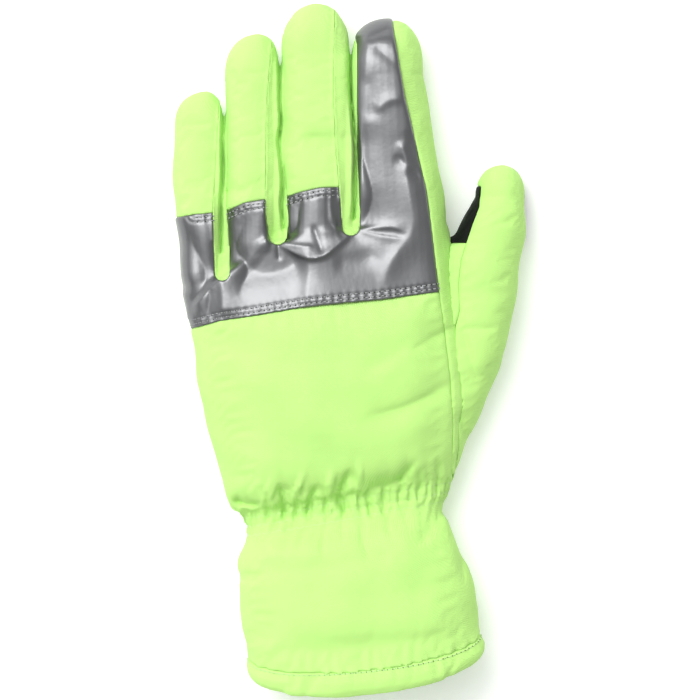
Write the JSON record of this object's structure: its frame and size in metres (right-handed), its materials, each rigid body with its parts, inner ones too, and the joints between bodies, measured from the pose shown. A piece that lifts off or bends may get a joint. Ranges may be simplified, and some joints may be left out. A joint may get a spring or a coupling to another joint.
{
  "type": "high-visibility winter glove",
  "caption": "Padded yellow-green gauntlet work glove for the left hand with a silver reflective band, a gathered wrist and a black grip patch on the thumb.",
  "frame": {"origin": "on the flat underside of the palm, in the middle of the glove's length", "axes": "+Y towards the fingertips, +Z out of the back of the hand, +X towards the thumb"},
  "size_m": [0.1481, 0.2895, 0.0422],
  "materials": {
    "shell": "matte",
    "reflective": "satin",
    "grip": "matte"
  },
  "bodies": {
    "root": {"hand_back": "shell", "little_finger_back": "shell", "ring_finger_back": "shell", "middle_finger_back": "shell", "palm_panel": "shell", "fourchette_little_ring": "shell", "fourchette_ring_middle": "shell", "fourchette_middle_index": "shell", "index_side_strip": "shell", "reflective_band": "reflective", "thumb_back": "shell", "thumb_front": "shell", "thumb_grip_patch": "grip", "wrist_gather": "shell", "cuff": "shell", "cuff_hem": "shell"}
  },
  "joints": []
}
